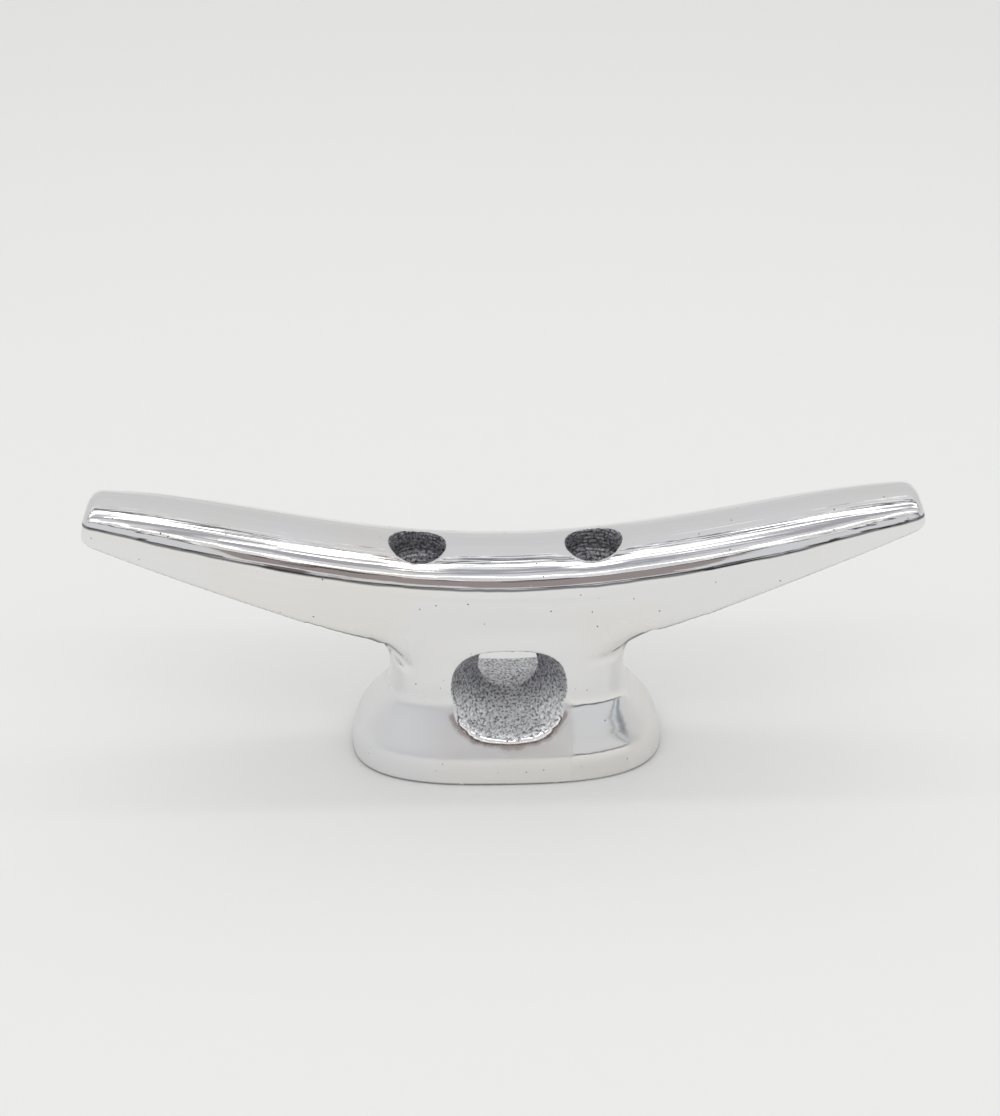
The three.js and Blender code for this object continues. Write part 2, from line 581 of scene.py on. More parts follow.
def loft(rings: Sequence[Sequence[Vector]]) -> bmesh.types.BMesh:
    """Extrudes one ring of points through a list of rings and closes both ends.

    Args:
        rings: The rings, each with the same number of points in the same order.

    Returns:
        A closed bmesh with its faces outwards.
    """
    bm = bmesh.new()
    turn = bm.verts.layers.int.new("turn")
    circle = bmesh.ops.create_circle(bm, cap_ends=False, radius=1.0, segments=len(rings[0]))
    for number, (vertex, point) in enumerate(zip(circle["verts"], rings[0])):
        vertex[turn] = number
        vertex.co = point
    edges = bm.edges[:]
    bmesh.ops.contextual_create(bm, geom=edges)
    for ring in rings[1:]:
        extruded = bmesh.ops.extrude_edge_only(bm, edges=edges)["geom"]
        edges = [part for part in extruded if isinstance(part, bmesh.types.BMEdge)]
        for vertex in (part for part in extruded if isinstance(part, bmesh.types.BMVert)):
            vertex.co = ring[vertex[turn]]
    bmesh.ops.contextual_create(bm, geom=edges)
    bmesh.ops.recalc_face_normals(bm, faces=bm.faces)
    return bm


def soften(
    bm: bmesh.types.BMesh, verts: Iterable[bmesh.types.BMVert], passes: int, factor: float = 0.5
) -> None:
    """Moves vertices towards the middle of their neighbours, or away from it.

    Args:
        bm: The bmesh.
        verts: The vertices that move.
        passes: How many times they move.
        factor: The share of the way that they go each time, below 0 to go away.
    """
    moving = list(verts)
    for _ in range(passes):
        bmesh.ops.smooth_vert(
            bm, verts=moving, factor=factor, use_axis_x=True, use_axis_y=True, use_axis_z=True
        )


def grown(verts: Iterable[bmesh.types.BMVert], rings: int) -> set[bmesh.types.BMVert]:
    """Grows a set of vertices over the mesh.

    Args:
        verts: The vertices to start from.
        rings: How many times their neighbours join them.

    Returns:
        The vertices and their neighbours.
    """
    found = set(verts)
    for _ in range(rings):
        found.update([edge.other_vert(v) for v in found for edge in v.link_edges])
    return found


def arc(
    centre: tuple[float, float], radius: float, start: float, stop: float, steps: int
) -> list[tuple[float, float]]:
    """Returns points on an arc in a plane, both ends included, with angles in radians."""
    angles = (mix(start, stop, i / steps) for i in range(steps + 1))
    return [(centre[0] + radius * math.cos(a), centre[1] + radius * math.sin(a)) for a in angles]


def superellipse(
    sides: int, half_width: float, half_height: float, power: float
) -> list[tuple[float, float]]:
    """Draws a superellipse round the origin of a plane.

    Args:
        sides: The number of points.
        half_width: Half its width.
        half_height: Half its height.
        power: 2 for an ellipse, and more for a squarer shape.

    Returns:
        Its points.
    """

    def bend(value: float) -> float:
        """Returns a cosine or a sine, bent by the power."""
        return math.copysign(abs(value) ** (2 / power), value)

    angles = (2 * math.pi * (i + 0.5) / sides for i in range(sides))
    return [(half_width * bend(math.cos(a)), half_height * bend(math.sin(a))) for a in angles]


def smooth_rows(rows: Sequence[Sequence[float]], steps: int) -> list[list[float]]:
    """Fills in rows of sizes between the given ones, along a Catmull-Rom curve through them.

    Args:
        rows: Rows of the same length.
        steps: How many rows each gap becomes.

    Returns:
        The longer list of rows.
    """
    filled = []
    for i in range(len(rows) - 1):
        before, start, stop, after = (rows[min(max(i + k, 0), len(rows) - 1)] for k in (-1, 0, 1, 2))
        for step in range(steps):
            t = step / steps
            filled.append(
                [
                    b
                    + 0.5 * t * (c - a + t * (2 * a - 5 * b + 4 * c - d + t * (3 * (b - c) + d - a)))
                    for a, b, c, d in zip(before, start, stop, after)
                ]
            )
    return [*filled, list(rows[-1])]


def near_path(point: tuple[float, float], path: Sequence[tuple[float, float]]) -> tuple[float, float]:
    """Finds the nearest place on a path of straight pieces.

    Args:
        point: A point in the path's plane.
        path: The path's corners.

    Returns:
        The distance to the path, and how far along it the nearest place is, from 0 to 1.
    """
    best = (math.inf, 0.0)
    for i, (start, stop) in enumerate(zip(path, path[1:])):
        run = (stop[0] - start[0], stop[1] - start[1])
        along = (point[0] - start[0]) * run[0] + (point[1] - start[1]) * run[1]
        gone = min(1.0, max(0.0, along / (run[0] ** 2 + run[1] ** 2)))
        away = math.hypot(point[0] - start[0] - gone * run[0], point[1] - start[1] - gone * run[1])
        best = min(best, (away, (i + gone) / (len(path) - 1)))
    return best


@dataclass
class Horns:
    """The two rising horns and the crown between them, in millimetres."""

    length: float = 152.0
    # How far the left and the right tip reach from the middle.
    reach: tuple[float, float] = (75.85, 75.6)
    crown_middle: float = 46.0
    crown_rise: float = 11.3
    crown_bend: float = -0.73
    half_width_middle: float = 8.7
    half_width_tip: float = 5.3
    keel_middle: float = 16.5
    keel_tip: float = 51.2
    keel_bend: float = -0.12
    # Radii as shares of the half width.
    crown_radius_share: float = 1.72
    shoulder_radius_share: float = 0.41
    side_draft: float = math.radians(3)
    keel_edge_radius: float = 0.9
    tip_lean: float = math.tan(math.radians(11))
    tip_rounding: dict[str, float] = field(
        default_factory=lambda: {"length": 2.1, "crown": 1.7, "side": 1.0, "keel": 0.5}
    )
    # What the right horn's crown and keel are higher by, and the left one's lower, and where along a horn.
    crown_skew: float = -0.35
    keel_skew: float = 0.45
    skew_limits: tuple[float, float] = (0.15, 0.9)
    stations: int = 150
    tip_stations: int = 10
    arc_steps: int = 12
    edge_steps: int = 4

    def section(self, x: float) -> dict[str, float]:
        """Measures the horn at x. The left horn came out of the mould a little deeper than the right one.

        Args:
            x: The place along the cleat.

        Returns:
            The crown's height, the keel's height and the half width.
        """
        t = abs(x) / (self.length / 2)
        skew = math.copysign(fade(*self.skew_limits, t), x)
        crown = self.crown_middle + self.crown_rise * mix(t**2, t**4, self.crown_bend)
        keel = mix(self.keel_middle, self.keel_tip, mix(t, t**2, self.keel_bend))
        return {
            "crown": crown + self.crown_skew * skew,
            "keel": keel + self.keel_skew * skew,
            "half_width": mix(self.half_width_middle, self.half_width_tip, t**4),
        }

    def outline(self, crown: float, keel: float, half_width: float) -> list[tuple[float, float]]:
        """Draws the cross-section: crown, shoulders, drafted sides and flat keel.

        Args:
            crown: The crown's height.
            keel: The keel's height.
            half_width: Half the width at the shoulders.

        Returns:
            Its points, as Y and Z.
        """
        crown_radius = self.crown_radius_share * half_width
        shoulder_radius = self.shoulder_radius_share * half_width
        gap = crown_radius - shoulder_radius
        start = math.acos((half_width - shoulder_radius) / gap)
        shoulder = (gap * math.cos(start), crown - crown_radius + gap * math.sin(start))
        edge_z = keel + self.keel_edge_radius
        run = (edge_z - shoulder[1]) * math.sin(self.side_draft) + shoulder_radius - self.keel_edge_radius
        edge = (shoulder[0] + run / math.cos(self.side_draft), edge_z)
        steps = self.arc_steps
        half = arc((0, crown - crown_radius), crown_radius, math.pi / 2, start, steps)
        half += arc(shoulder, shoulder_radius, start, -self.side_draft, steps)[1:]
        half += arc(edge, self.keel_edge_radius, -self.side_draft, -math.pi / 2, self.edge_steps)
        return half + [(-y, z) for y, z in reversed(half[1:])]

    def ring(self, x: float, section: dict[str, float]) -> list[Vector]:
        """Places a cross-section, leaning inwards towards the tips.

        Args:
            x: Where its keel is.
            section: The crown's height, the keel's height and the half width.

        Returns:
            The ring of points.
        """
        lean = math.copysign(self.tip_lean * abs(2 * x / self.length) ** 3, x)
        points = self.outline(**section)
        return [Vector((x - lean * (z - section["keel"]), y, z)) * MM for y, z in points]

    def tip_rings(self, side: int) -> list[list[Vector]]:
        """Rounds off a tip.

        Args:
            side: -1 for the left tip and 1 for the right one.

        Returns:
            The tip's rings, from the body outwards.
        """
        rings = []
        end = self.reach[0 if side < 0 else 1]
        for i in range(1, self.tip_stations + 1):
            angle = i / self.tip_stations * math.pi / 2
            x = end - self.tip_rounding["length"] * (1 - math.sin(angle))
            section = self.section(side * x)
            taken = 1 - math.cos(angle)
            section["crown"] -= self.tip_rounding["crown"] * taken
            section["half_width"] -= self.tip_rounding["side"] * taken
            section["keel"] += self.tip_rounding["keel"] * taken
            rings.append(self.ring(side * x, section))
        return rings

    def build(self) -> bmesh.types.BMesh:
        """Lofts both horns in one closed body.

        Returns:
            The body.
        """
        left, right = (end - self.tip_rounding["length"] for end in self.reach)
        places = [mix(-left, right, i / self.stations) for i in range(self.stations + 1)]
        body = [self.ring(x, self.section(x)) for x in places]
        return loft([*reversed(self.tip_rings(-1)), *body, *self.tip_rings(1)])


@dataclass
class Pedestal:
    """The waisted pedestal and its spreading foot, in millimetres.

    Each row is half length, half depth, height and the power of the superellipse that is the outline there.
    """

    rows: Sequence[Sequence[float]] = (
        (30.6, 15.2, -3.0, 2.8),
        (30.6, 15.2, 0.0, 2.8),
        (30.4, 15.1, 3.0, 2.9),
        (29.2, 14.9, 6.0, 3.0),
        (28.1, 13.95, 7.8, 3.1),
        (26.6, 12.5, 9.6, 3.3),
        (25.4, 11.2, 11.3, 3.4),
        (24.5, 10.2, 12.6, 3.5),
        (23.9, 9.5, 13.6, 3.6),
        (23.4, 9.05, 14.6, 3.6),
        (22.9, 8.8, 16.0, 3.7),
        (22.5, 8.75, 19.0, 3.9),
        (22.6, 8.5, 23.6, 4.1),
        (23.6, 8.4, 27.0, 4.3),
        (26.2, 8.3, 29.6, 4.5),
        (27.5, 8.2, 32.5, 4.6),
    )
    off_centre: float = 0.25
    sides: int = 160
    row_steps: int = 6

    def build(self) -> bmesh.types.BMesh:
        """Lofts the pedestal from under the floor up to inside the horns.

        Returns:
            The body.
        """
        rings = []
        for half_length, half_depth, height, power in smooth_rows(self.rows, self.row_steps):
            outline = superellipse(self.sides, half_length, half_depth, power)
            rings.append([Vector((x + self.off_centre, y, height)) * MM for x, y in outline])
        return loft(rings)


@dataclass
class RopeEye:
    """The open eye through the pedestal: two funnels that meet in a round waist, in millimetres."""

    height: float = 18.2
    waist_radius: float = 5.8
    mouth_half_width: float = 11.9
    mouth_rise: float = 9.7
    mouth_drop: float = 8.3
    mouth_at: float = 10.0
    flare_power: float = 1.15
    lip_flare: float = 0.3
    length: float = 36.0
    arch_power: float = 3.0
    sill_power: float = 2.5
    tilt: float = math.radians(-1.5)
    off_centre: float = 0.5
    sides: int = 190
    levels: int = 110

    def outline(self, y: float) -> list[tuple[float, float]]:
        """Draws the tunnel at y: an arch above and a rounder sill below.

        Args:
            y: The place along the tunnel.

        Returns:
            Its points, as X and Z.
        """
        flare = min(1.0, abs(y) / self.mouth_at) ** self.flare_power
        outside = max(0.0, abs(y) - self.mouth_at) * self.lip_flare
        width = mix(self.waist_radius, self.mouth_half_width, flare) + outside
        rise = mix(self.waist_radius, self.mouth_rise, flare) + outside
        drop = mix(self.waist_radius, self.mouth_drop, flare) + outside
        arch = superellipse(self.sides, width, rise, mix(2.0, self.arch_power, flare))
        sill = superellipse(self.sides, width, drop, mix(2.0, self.sill_power, flare))
        return arch[: self.sides // 2] + sill[self.sides // 2 :]

    def build(self) -> bmesh.types.BMesh:
        """Lofts the solid that cuts the eye.

        Returns:
            The solid.
        """
        rings = []
        for i in range(self.levels + 1):
            y = self.length * (i / self.levels - 0.5)
            rings.append([Vector((x, y, z)) * MM for x, z in self.outline(y)])
        bm = loft(rings)
        place = Matrix.Translation(Vector((self.off_centre, 0, self.height)) * MM)
        bmesh.ops.transform(bm, matrix=place @ Matrix.Rotation(self.tilt, 4, "X"), verts=bm.verts)
        return bm


@dataclass
class BoltHole:
    """A bolt hole down through the casting, with a wider cast pocket for the bolt's head, in millimetres."""

    x: float
    rim: float
    shank_radius: float = 3.3
    pocket_mouth: float = 5.3
    pocket_floor: float = 4.9
    pocket_depth: float = 5.0
    cone_depth: float = 3.0
    sides: int = 120
    row_height: float = 0.3
    fine_shank: float = 4.0
    fine_above: float = 0.5
    overshoot: float = 5.0
    clearance: float = 8.0

    def profile(self) -> list[tuple[float, float]]:
        """Draws half of the cutter's section, closely spaced in the pocket.

        Returns:
            Radius and height from its bottom to its top.
        """
        floor = self.rim - self.pocket_depth
        cone = floor - self.cone_depth
        corners = [
            (self.shank_radius, -self.overshoot),
            (self.shank_radius, cone - self.fine_shank),
            (self.shank_radius, cone),
            (self.pocket_floor, floor),
            (self.pocket_mouth, self.rim + self.fine_above),
            (self.pocket_mouth, self.rim + self.clearance),
        ]
        points = [(0.0, corners[0][1]), corners[0]]
        for start, stop in zip(corners, corners[1:]):
            fine = start[1] > 0 and stop[1] <= self.rim + self.fine_above
            rows = math.ceil((stop[1] - start[1]) / self.row_height) if fine else 1
            shares = (row / rows for row in range(1, rows + 1))
            points += [(mix(start[0], stop[0], share), mix(start[1], stop[1], share)) for share in shares]
        return [*points, (0.0, corners[-1][1])]

    def build(self) -> bmesh.types.BMesh:
        """Spins the profile into the solid that cuts the hole.

        Returns:
            The solid.
        """
        bm = bmesh.new()
        points = [Vector((self.x + radius, 0.0, height)) * MM for radius, height in self.profile()]
        verts = [bm.verts.new(point) for point in points]
        edges = [bm.edges.new(pair) for pair in zip(verts, verts[1:])]
        bmesh.ops.spin(
            bm,
            geom=[*verts, *edges],
            cent=Vector((self.x, 0.0, 0.0)) * MM,
            axis=(0.0, 0.0, 1.0),
            angle=2 * math.pi,
            steps=self.sides,
            use_merge=True,
        )
        bmesh.ops.remove_doubles(bm, verts=bm.verts, dist=WELD)
        bmesh.ops.recalc_face_normals(bm, faces=bm.faces)
        return bm


@dataclass(frozen=True)
class Wear:
    """Where use and hand polishing left the casting shiny or dull, and where light is painted: a highlight on
    the eye's sills and shade on the downward faces.

    Pairs are the start and the end of a fade in millimetres, and the other values are shares of 1.
    """

    sill_depths: tuple[float, float] = (1.0, 8.0)
    sill_heights: tuple[float, float] = (20.0, 12.0)
    rear_sill: float = 0.3
    foot_heights: tuple[float, float] = (19.0, 15.0)
    foot_left: float = 0.75
    foot_right: float = 0.65
    bright_patch: float = 0.8
    bright_patch_starts: tuple[float, float] = (11.5, 13.5)
    bright_patch_ends: tuple[float, float] = (24.5, 22.5)
    throat: float = 0.7
    throat_reach: tuple[float, float] = (9.0, 5.0)
    # Downward faces are dull, and the polished material also paints the most downward of them darker as
    # shade.
    underside_slopes: tuple[float, float] = (-0.1, -0.5)
    lip_reach: tuple[float, float] = (2.2, 0.7)
    lip_heights: tuple[float, float] = (14.5, 12.5)

    def of_cast_wall(self, place: Vector) -> float:
        """Returns how much a cast wall's grain tops shine at a place, most at the eye's front sill: wear,
        with a highlight painted lighter on top.
        """
        depth = fade(*self.sill_depths, abs(place.y))
        return depth * fade(*self.sill_heights, place.z) * (1.0 if place.y < 0 else self.rear_sill)

    def of_metal(self, place: Vector, slope: float, from_throat: float, from_rim: float) -> float:
        """Finds how dull the polished metal is: on the foot, in the throats and on the undersides, where
        shade is also painted.

        Args:
            place: The place on the casting.
            slope: The Z of the surface's normal.
            from_throat: The distance to the inner corner between a horn and the pedestal.
            from_rim: The distance to the nearest rim, which the wheel reaches again.

        Returns:
            The dullness from 0 to 1.
        """
        bright = fade(*self.bright_patch_starts, place.x) * fade(*self.bright_patch_ends, place.x)
        foot = fade(*self.foot_heights, place.z) * (self.foot_left if place.x < 0 else self.foot_right)
        foot *= 1 - self.bright_patch * bright
        throat = self.throat * fade(*self.throat_reach, from_throat)
        lip = fade(*self.lip_reach, from_rim) * fade(*self.lip_heights, place.z)
        return max(foot, throat, fade(*self.underside_slopes, slope)) * (1 - lip)


@dataclass(frozen=True)
class SandGrain:
    """The relief that the moulding sand and the cores left on the cast walls, in millimetres.

    Moulding sand is about 0.2 mm across, and its grain is made coarser here so that it shows.
    """

    size: float = 0.8
    depth: float = 0.2
    fine_ratio: float = 1.9
    fine_share: float = 0.6
    bolt_walls_from: float = 30.0
    ring_pitch: float = 0.75
    ring_wobble: float = 0.5
    ring_wobble_length: float = 4.0
    ring_share: float = 0.8
    ringed_grain_share: float = 0.6

    def height(self, place: Vector) -> float:
        """Finds the relief, with the core's rings in the bolt holes.

        Args:
            place: A place on a cast wall.

        Returns:
            How far the metal stands out there.
        """
        spot = place / self.size
        grain = 0.5 - noise.voronoi(spot)[0][0] + self.fine_share * noise.noise(spot * self.fine_ratio)
        if place.z > self.bolt_walls_from:
            wobble = self.ring_wobble * noise.noise(place / self.ring_wobble_length)
            rings = math.sin(2 * math.pi * (place.z / self.ring_pitch + wobble))
            grain = self.ringed_grain_share * grain + self.ring_share * rings
        return grain * self.depth


@dataclass
class CleatCasting:
    """The whole cleat: horns on a pedestal, cut by the rope eye and the bolt holes, in millimetres."""

    horns: Horns = field(default_factory=Horns)
    pedestal: Pedestal = field(default_factory=Pedestal)
    eye: RopeEye = field(default_factory=RopeEye)
    wear: Wear = field(default_factory=Wear)
    sand: SandGrain = field(default_factory=SandGrain)
    polished: PolishedAluminium = field(default_factory=PolishedAluminium)
    as_cast: CastAluminium = field(default_factory=CastAluminium)
    bolt_spacing: float = 32.2
    voxel: float = 0.5
    buffing_passes: int = 12
    # X and Z of the inner corner between a keel and the pedestal, and the reach and number of its smoothings.
    throat: tuple[float, float] = (24.5, 28.2)
    throat_passes: Sequence[tuple[float, int]] = (
        (14.0, 10),
        (11.5, 8),
        (9.0, 6),
        (7.5, 8),
        (6.0, 12),
        (4.5, 18),
        (3.0, 24),
    )
    dish_width: float = 4.0
    dish_inside: float = 1.5
    dish_depth: float = 0.22
    crown_reach: float = 8.0
    crease_depth: float = 1.3
    crease_width: float = 1.8
    # The creases stay within this X and in front of this Y. Their paths are points in X and Z.
    crease_area: tuple[float, float] = (32.0, -5.0)
    crease_run_out: tuple[float, float] = (0.1, 1.0)
    creases: Sequence[Sequence[tuple[float, float]]] = (
        ((27.5, 30.0), (25.0, 27.0), (19.9, 25.0), (13.0, 24.2)),
        ((-22.6, 27.6), (-19.6, 24.2), (-17.0, 22.3)),
    )
    waviness: float = 0.02
    wave_length: float = 6.0
    foot_edge: float = 0.5
    # The bolt holes' mouths in the sole, which keep their place, lie within this X and Y.
    sole_middle: tuple[float, float] = (22.0, 8.0)
    rims_from: float = 1.0
    rim_rings: int = 2
    rim_passes: int = 4
    sill_rings: int = 6
    # Heights that the sill is softened below, with the number of smoothings.
    sill_passes: Sequence[tuple[float, int]] = ((16.5, 6), (14.5, 8), (12.5, 10), (10.5, 14))
    sill_slope: float = 0.8
    sill_raggedness: float = 0.1
    # Where the painted dark reflection line lies below the crown, as a share of the half width.
    seam_share: float = 0.48

    def holes(self) -> list[BoltHole]:
        """Returns the two bolt holes."""
        x = self.bolt_spacing / 2
        return [BoltHole(side * x, self.horns.section(side * x)["crown"]) for side in (-1, 1)]

    def body(self) -> bpy.types.Object:
        """Joins the horns and the pedestal in one skin of even small faces, and buffs it smooth.

        Returns:
            The skin, before it is cut.
        """
        joined = bmesh.new()
        for bm in (self.horns.build(), self.pedestal.build()):
            mesh = bpy.data.meshes.new("casting_blank")
            bm.to_mesh(mesh)
            bm.free()
            joined.from_mesh(mesh)
            bpy.data.meshes.remove(mesh)
        made = piece_of(joined, "cleat_casting_skin")
        remesh = made.modifiers.new("fuse", "REMESH")
        remesh.mode = "VOXEL"
        remesh.voxel_size = self.voxel * MM
        settled(made)
        bm = bmesh.new()
        bm.from_mesh(made.data)
        for step in (self.buff, self.dish, self.crease, self.wave):
            step(bm)
        bm.to_mesh(made.data)
        bm.free()
        return made

    def buff(self, bm: bmesh.types.BMesh) -> None:
        """Smooths the whole skin, and rounds the throats where the horns meet the pedestal.

        Args:
            bm: The casting's bmesh.
        """
        for _ in range(self.buffing_passes):
            soften(bm, bm.verts, 1)
            soften(bm, bm.verts, 1, -0.5)
        for reach, passes in self.throat_passes:
            soften(bm, (v for v in bm.verts if self.from_throat(v.co / MM) < reach), passes)

    def from_throat(self, point: Vector) -> float:
        """Returns how far a point is from the inner corner between a horn's keel and the pedestal."""
        return math.hypot(abs(point.x) - self.throat[0], point.z - self.throat[1])

    def dish(self, bm: bmesh.types.BMesh) -> None:
        """Lets the crown sink a little round the bolt holes, where the wheel dips into them.

        Args:
            bm: The casting's bmesh.
        """
        for hole in self.holes():
            for vertex in bm.verts:
                point = vertex.co / MM
                away = math.hypot(point.x - hole.x, point.y) - hole.pocket_mouth
                if point.z > hole.rim - self.crown_reach and away < self.dish_width:
                    sunk = 1 - fade(-self.dish_inside, self.dish_width, away)
                    vertex.co.z -= self.dish_depth * sunk * MM

    def crease(self, bm: bmesh.types.BMesh) -> None:
        """Presses shallow creases in the front, where the legs run out of the horns.

        Args:
            bm: The casting's bmesh.
        """
        for vertex in bm.verts:
            point = vertex.co / MM
            if abs(point.x) > self.crease_area[0] or point.y > self.crease_area[1]:
                continue
            for path in self.creases:
                away, share = near_path((point.x, point.z), path)
                depth = (1 - fade(*self.crease_run_out, share)) * (1 - fade(0, self.crease_width, away))
                vertex.co.y += self.crease_depth * depth * MM

    def wave(self, bm: bmesh.types.BMesh) -> None:
        """Leaves the slight waviness of hand polishing in the skin.

        Args:
            bm: The casting's bmesh.
        """
        bm.normal_update()
        for vertex in bm.verts:
            swell = noise.noise(vertex.co / (self.wave_length * MM))
            vertex.co += vertex.normal * (swell * self.waviness * MM)

    def cut(self, made: bpy.types.Object) -> None:
        """Cuts the eye and the bolt holes, whose walls keep the as-cast finish of the cores.

        Args:
            made: The casting, which holds both finishes.
        """
        cutters = []
        for number, source in enumerate([self.eye, *self.holes()]):
            cutter = piece_of(source.build(), f"core_{number}")
            for material in made.data.materials:
                cutter.data.materials.append(material)
            for face in cutter.data.polygons:
                face.material_index = Skin.AS_CAST.value
            cutters.append(cutter)
            tool = made.modifiers.new(cutter.name, "BOOLEAN")
            tool.operation = "DIFFERENCE"
            tool.solver = "EXACT"
            tool.object = cutter
        settled(made)
        for cutter in cutters:
            bpy.data.objects.remove(cutter)

    def trim_foot(self, bm: bmesh.types.BMesh) -> None:
        """Cuts the casting off flat at the floor and closes the foot round the bolt holes.

        Args:
            bm: The casting's bmesh.
        """
        geometry = [*bm.verts, *bm.edges, *bm.faces]
        bmesh.ops.bisect_plane(
            bm, geom=geometry, dist=0.1 * WELD, plane_co=(0, 0, 0), plane_no=(0, 0, 1), clear_inner=True
        )
        border = [edge for edge in bm.edges if edge.is_boundary]
        filled = bmesh.ops.triangle_fill(bm, edges=border, use_beauty=True, normal=(0, 0, -1))["geom"]
        for part in filled:
            if isinstance(part, bmesh.types.BMFace):
                part.material_index = Skin.POLISHED.value
                part.smooth = False
        for edge in border:
            edge.smooth = False
        half_length, half_depth = (side * MM for side in self.sole_middle)
        for vertex in {vertex for edge in border for vertex in edge.verts}:
            if abs(vertex.co.x) > half_length or abs(vertex.co.y) > half_depth:
                outwards = Vector((vertex.co.x, vertex.co.y, 0)).normalized()
                vertex.co -= outwards * (self.foot_edge * MM)

    def break_rims(self, bm: bmesh.types.BMesh) -> None:
        """Rounds the sharp rims of the eye and the holes, and most of all the eye's sills.

        Args:
            bm: The casting's bmesh.
        """
        rim: set[bmesh.types.BMVert] = set()
        for edge in bm.edges:
            kinds = {face.material_index for face in edge.link_faces}
            if len(kinds) > 1 and edge.verts[0].co.z > self.rims_from * MM:
                rim.update(edge.verts)
        soften(bm, grown(rim, self.rim_rings), self.rim_passes)
        for height, passes in self.sill_passes:
            sill = grown((vertex for vertex in rim if vertex.co.z < height * MM), self.sill_rings)
            soften(bm, sill, passes)
        bm.normal_update()
        for face in bm.faces:
            if all(vertex in sill for vertex in face.verts):
                grain = noise.noise(face.calc_center_median() / (self.sand.size * MM))
                if face.normal.z > self.sill_slope + self.sill_raggedness * grain:
                    face.material_index = Skin.AS_CAST.value

    def is_cast(self, vertex: bmesh.types.BMVert) -> bool:
        """Tells whether a vertex lies wholly on a cast wall."""
        return all(face.material_index == Skin.AS_CAST.value for face in vertex.link_faces)

    def roughen(self, bm: bmesh.types.BMesh) -> None:
        """Gives the cast walls their grain as real relief.

        Args:
            bm: The casting's bmesh.
        """
        bm.normal_update()
        walls = [vertex for vertex in bm.verts if self.is_cast(vertex)]
        moves = [vertex.normal * (self.sand.height(vertex.co / MM) * MM) for vertex in walls]
        for vertex, move in zip(walls, moves):
            vertex.co += move

    def mark(self, bm: bmesh.types.BMesh) -> None:
        """Stores what the finishes need at each vertex.

        That is its place relative to the crown, which the buffing lines follow, its wear and painted light,
        and how far it lies below the seam where the shoulder ends on the flat side, along which a dark
        reflection is painted.

        Args:
            bm: The casting's bmesh.
        """
        bm.normal_update()
        rim = [v for v in bm.verts if len({face.material_index for face in v.link_faces}) > 1]
        rims = kdtree.KDTree(len(rim))
        for number, vertex in enumerate(rim):
            rims.insert(vertex.co, number)
        rims.balance()
        buffed = bm.verts.layers.float_vector.new("buffed")
        wear_and_painted_light = bm.verts.layers.float.new("wear_and_painted_light")
        below_seam = bm.verts.layers.float.new("below_seam")
        for vertex in bm.verts:
            place = vertex.co / MM
            section = self.horns.section(place.x)
            vertex[buffed] = vertex.co - Vector((0, 0, section["crown"] * MM))
            vertex[below_seam] = section["crown"] - place.z - self.seam_share * section["half_width"]
            if self.is_cast(vertex):
                vertex[wear_and_painted_light] = self.wear.of_cast_wall(place)
            else:
                from_rim = rims.find(vertex.co)[2] / MM
                vertex[wear_and_painted_light] = self.wear.of_metal(place, vertex.normal.z, self.from_throat(place), from_rim)

    def build(self) -> bpy.types.Object:
        """Builds the casting, dresses it and puts it in the frame in place of the plain node.

        Returns:
            The casting.
        """
        made = self.body()
        for finish in (self.polished, self.as_cast):
            made.data.materials.append(finish.build())
        self.cut(made)
        bm = bmesh.new()
        bm.from_mesh(made.data)
        for face in bm.faces:
            face.smooth = True
        bmesh.ops.remove_doubles(bm, verts=bm.verts, dist=2 * WELD)
        for step in (self.trim_foot, self.break_rims, self.roughen, self.mark):
            step(bm)
        bm.to_mesh(made.data)
        bm.free()
        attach(made, "root")
        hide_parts(NODE)
        return made


@dataclass
class LightPanel:
    """A soft rectangular lamp, with its middle in millimetres, its sides in millimetres and its radiance."""

    name: str
    middle: tuple[float, float, float]
    sides: tuple[float, float]
    radiance: float
    seen_in_metal: bool = True
    lights_paper: bool = True

    def build(self) -> bpy.types.Object:
        """Hangs the lamp, facing down.

        Returns:
            The lamp.
        """
        lamp = bpy.data.lights.new(self.name, "AREA")
        lamp.shape = "RECTANGLE"
        lamp.size, lamp.size_y = (side * MM for side in self.sides)
        lamp.energy = self.radiance * math.pi * lamp.size * lamp.size_y
        made = bpy.data.objects.new(self.name, lamp)
        made.location = Vector(self.middle) * MM
        made.visible_camera = False
        made.visible_glossy = self.seen_in_metal
        made.visible_diffuse = self.lights_paper
        bpy.context.scene.collection.objects.link(made)
        return made


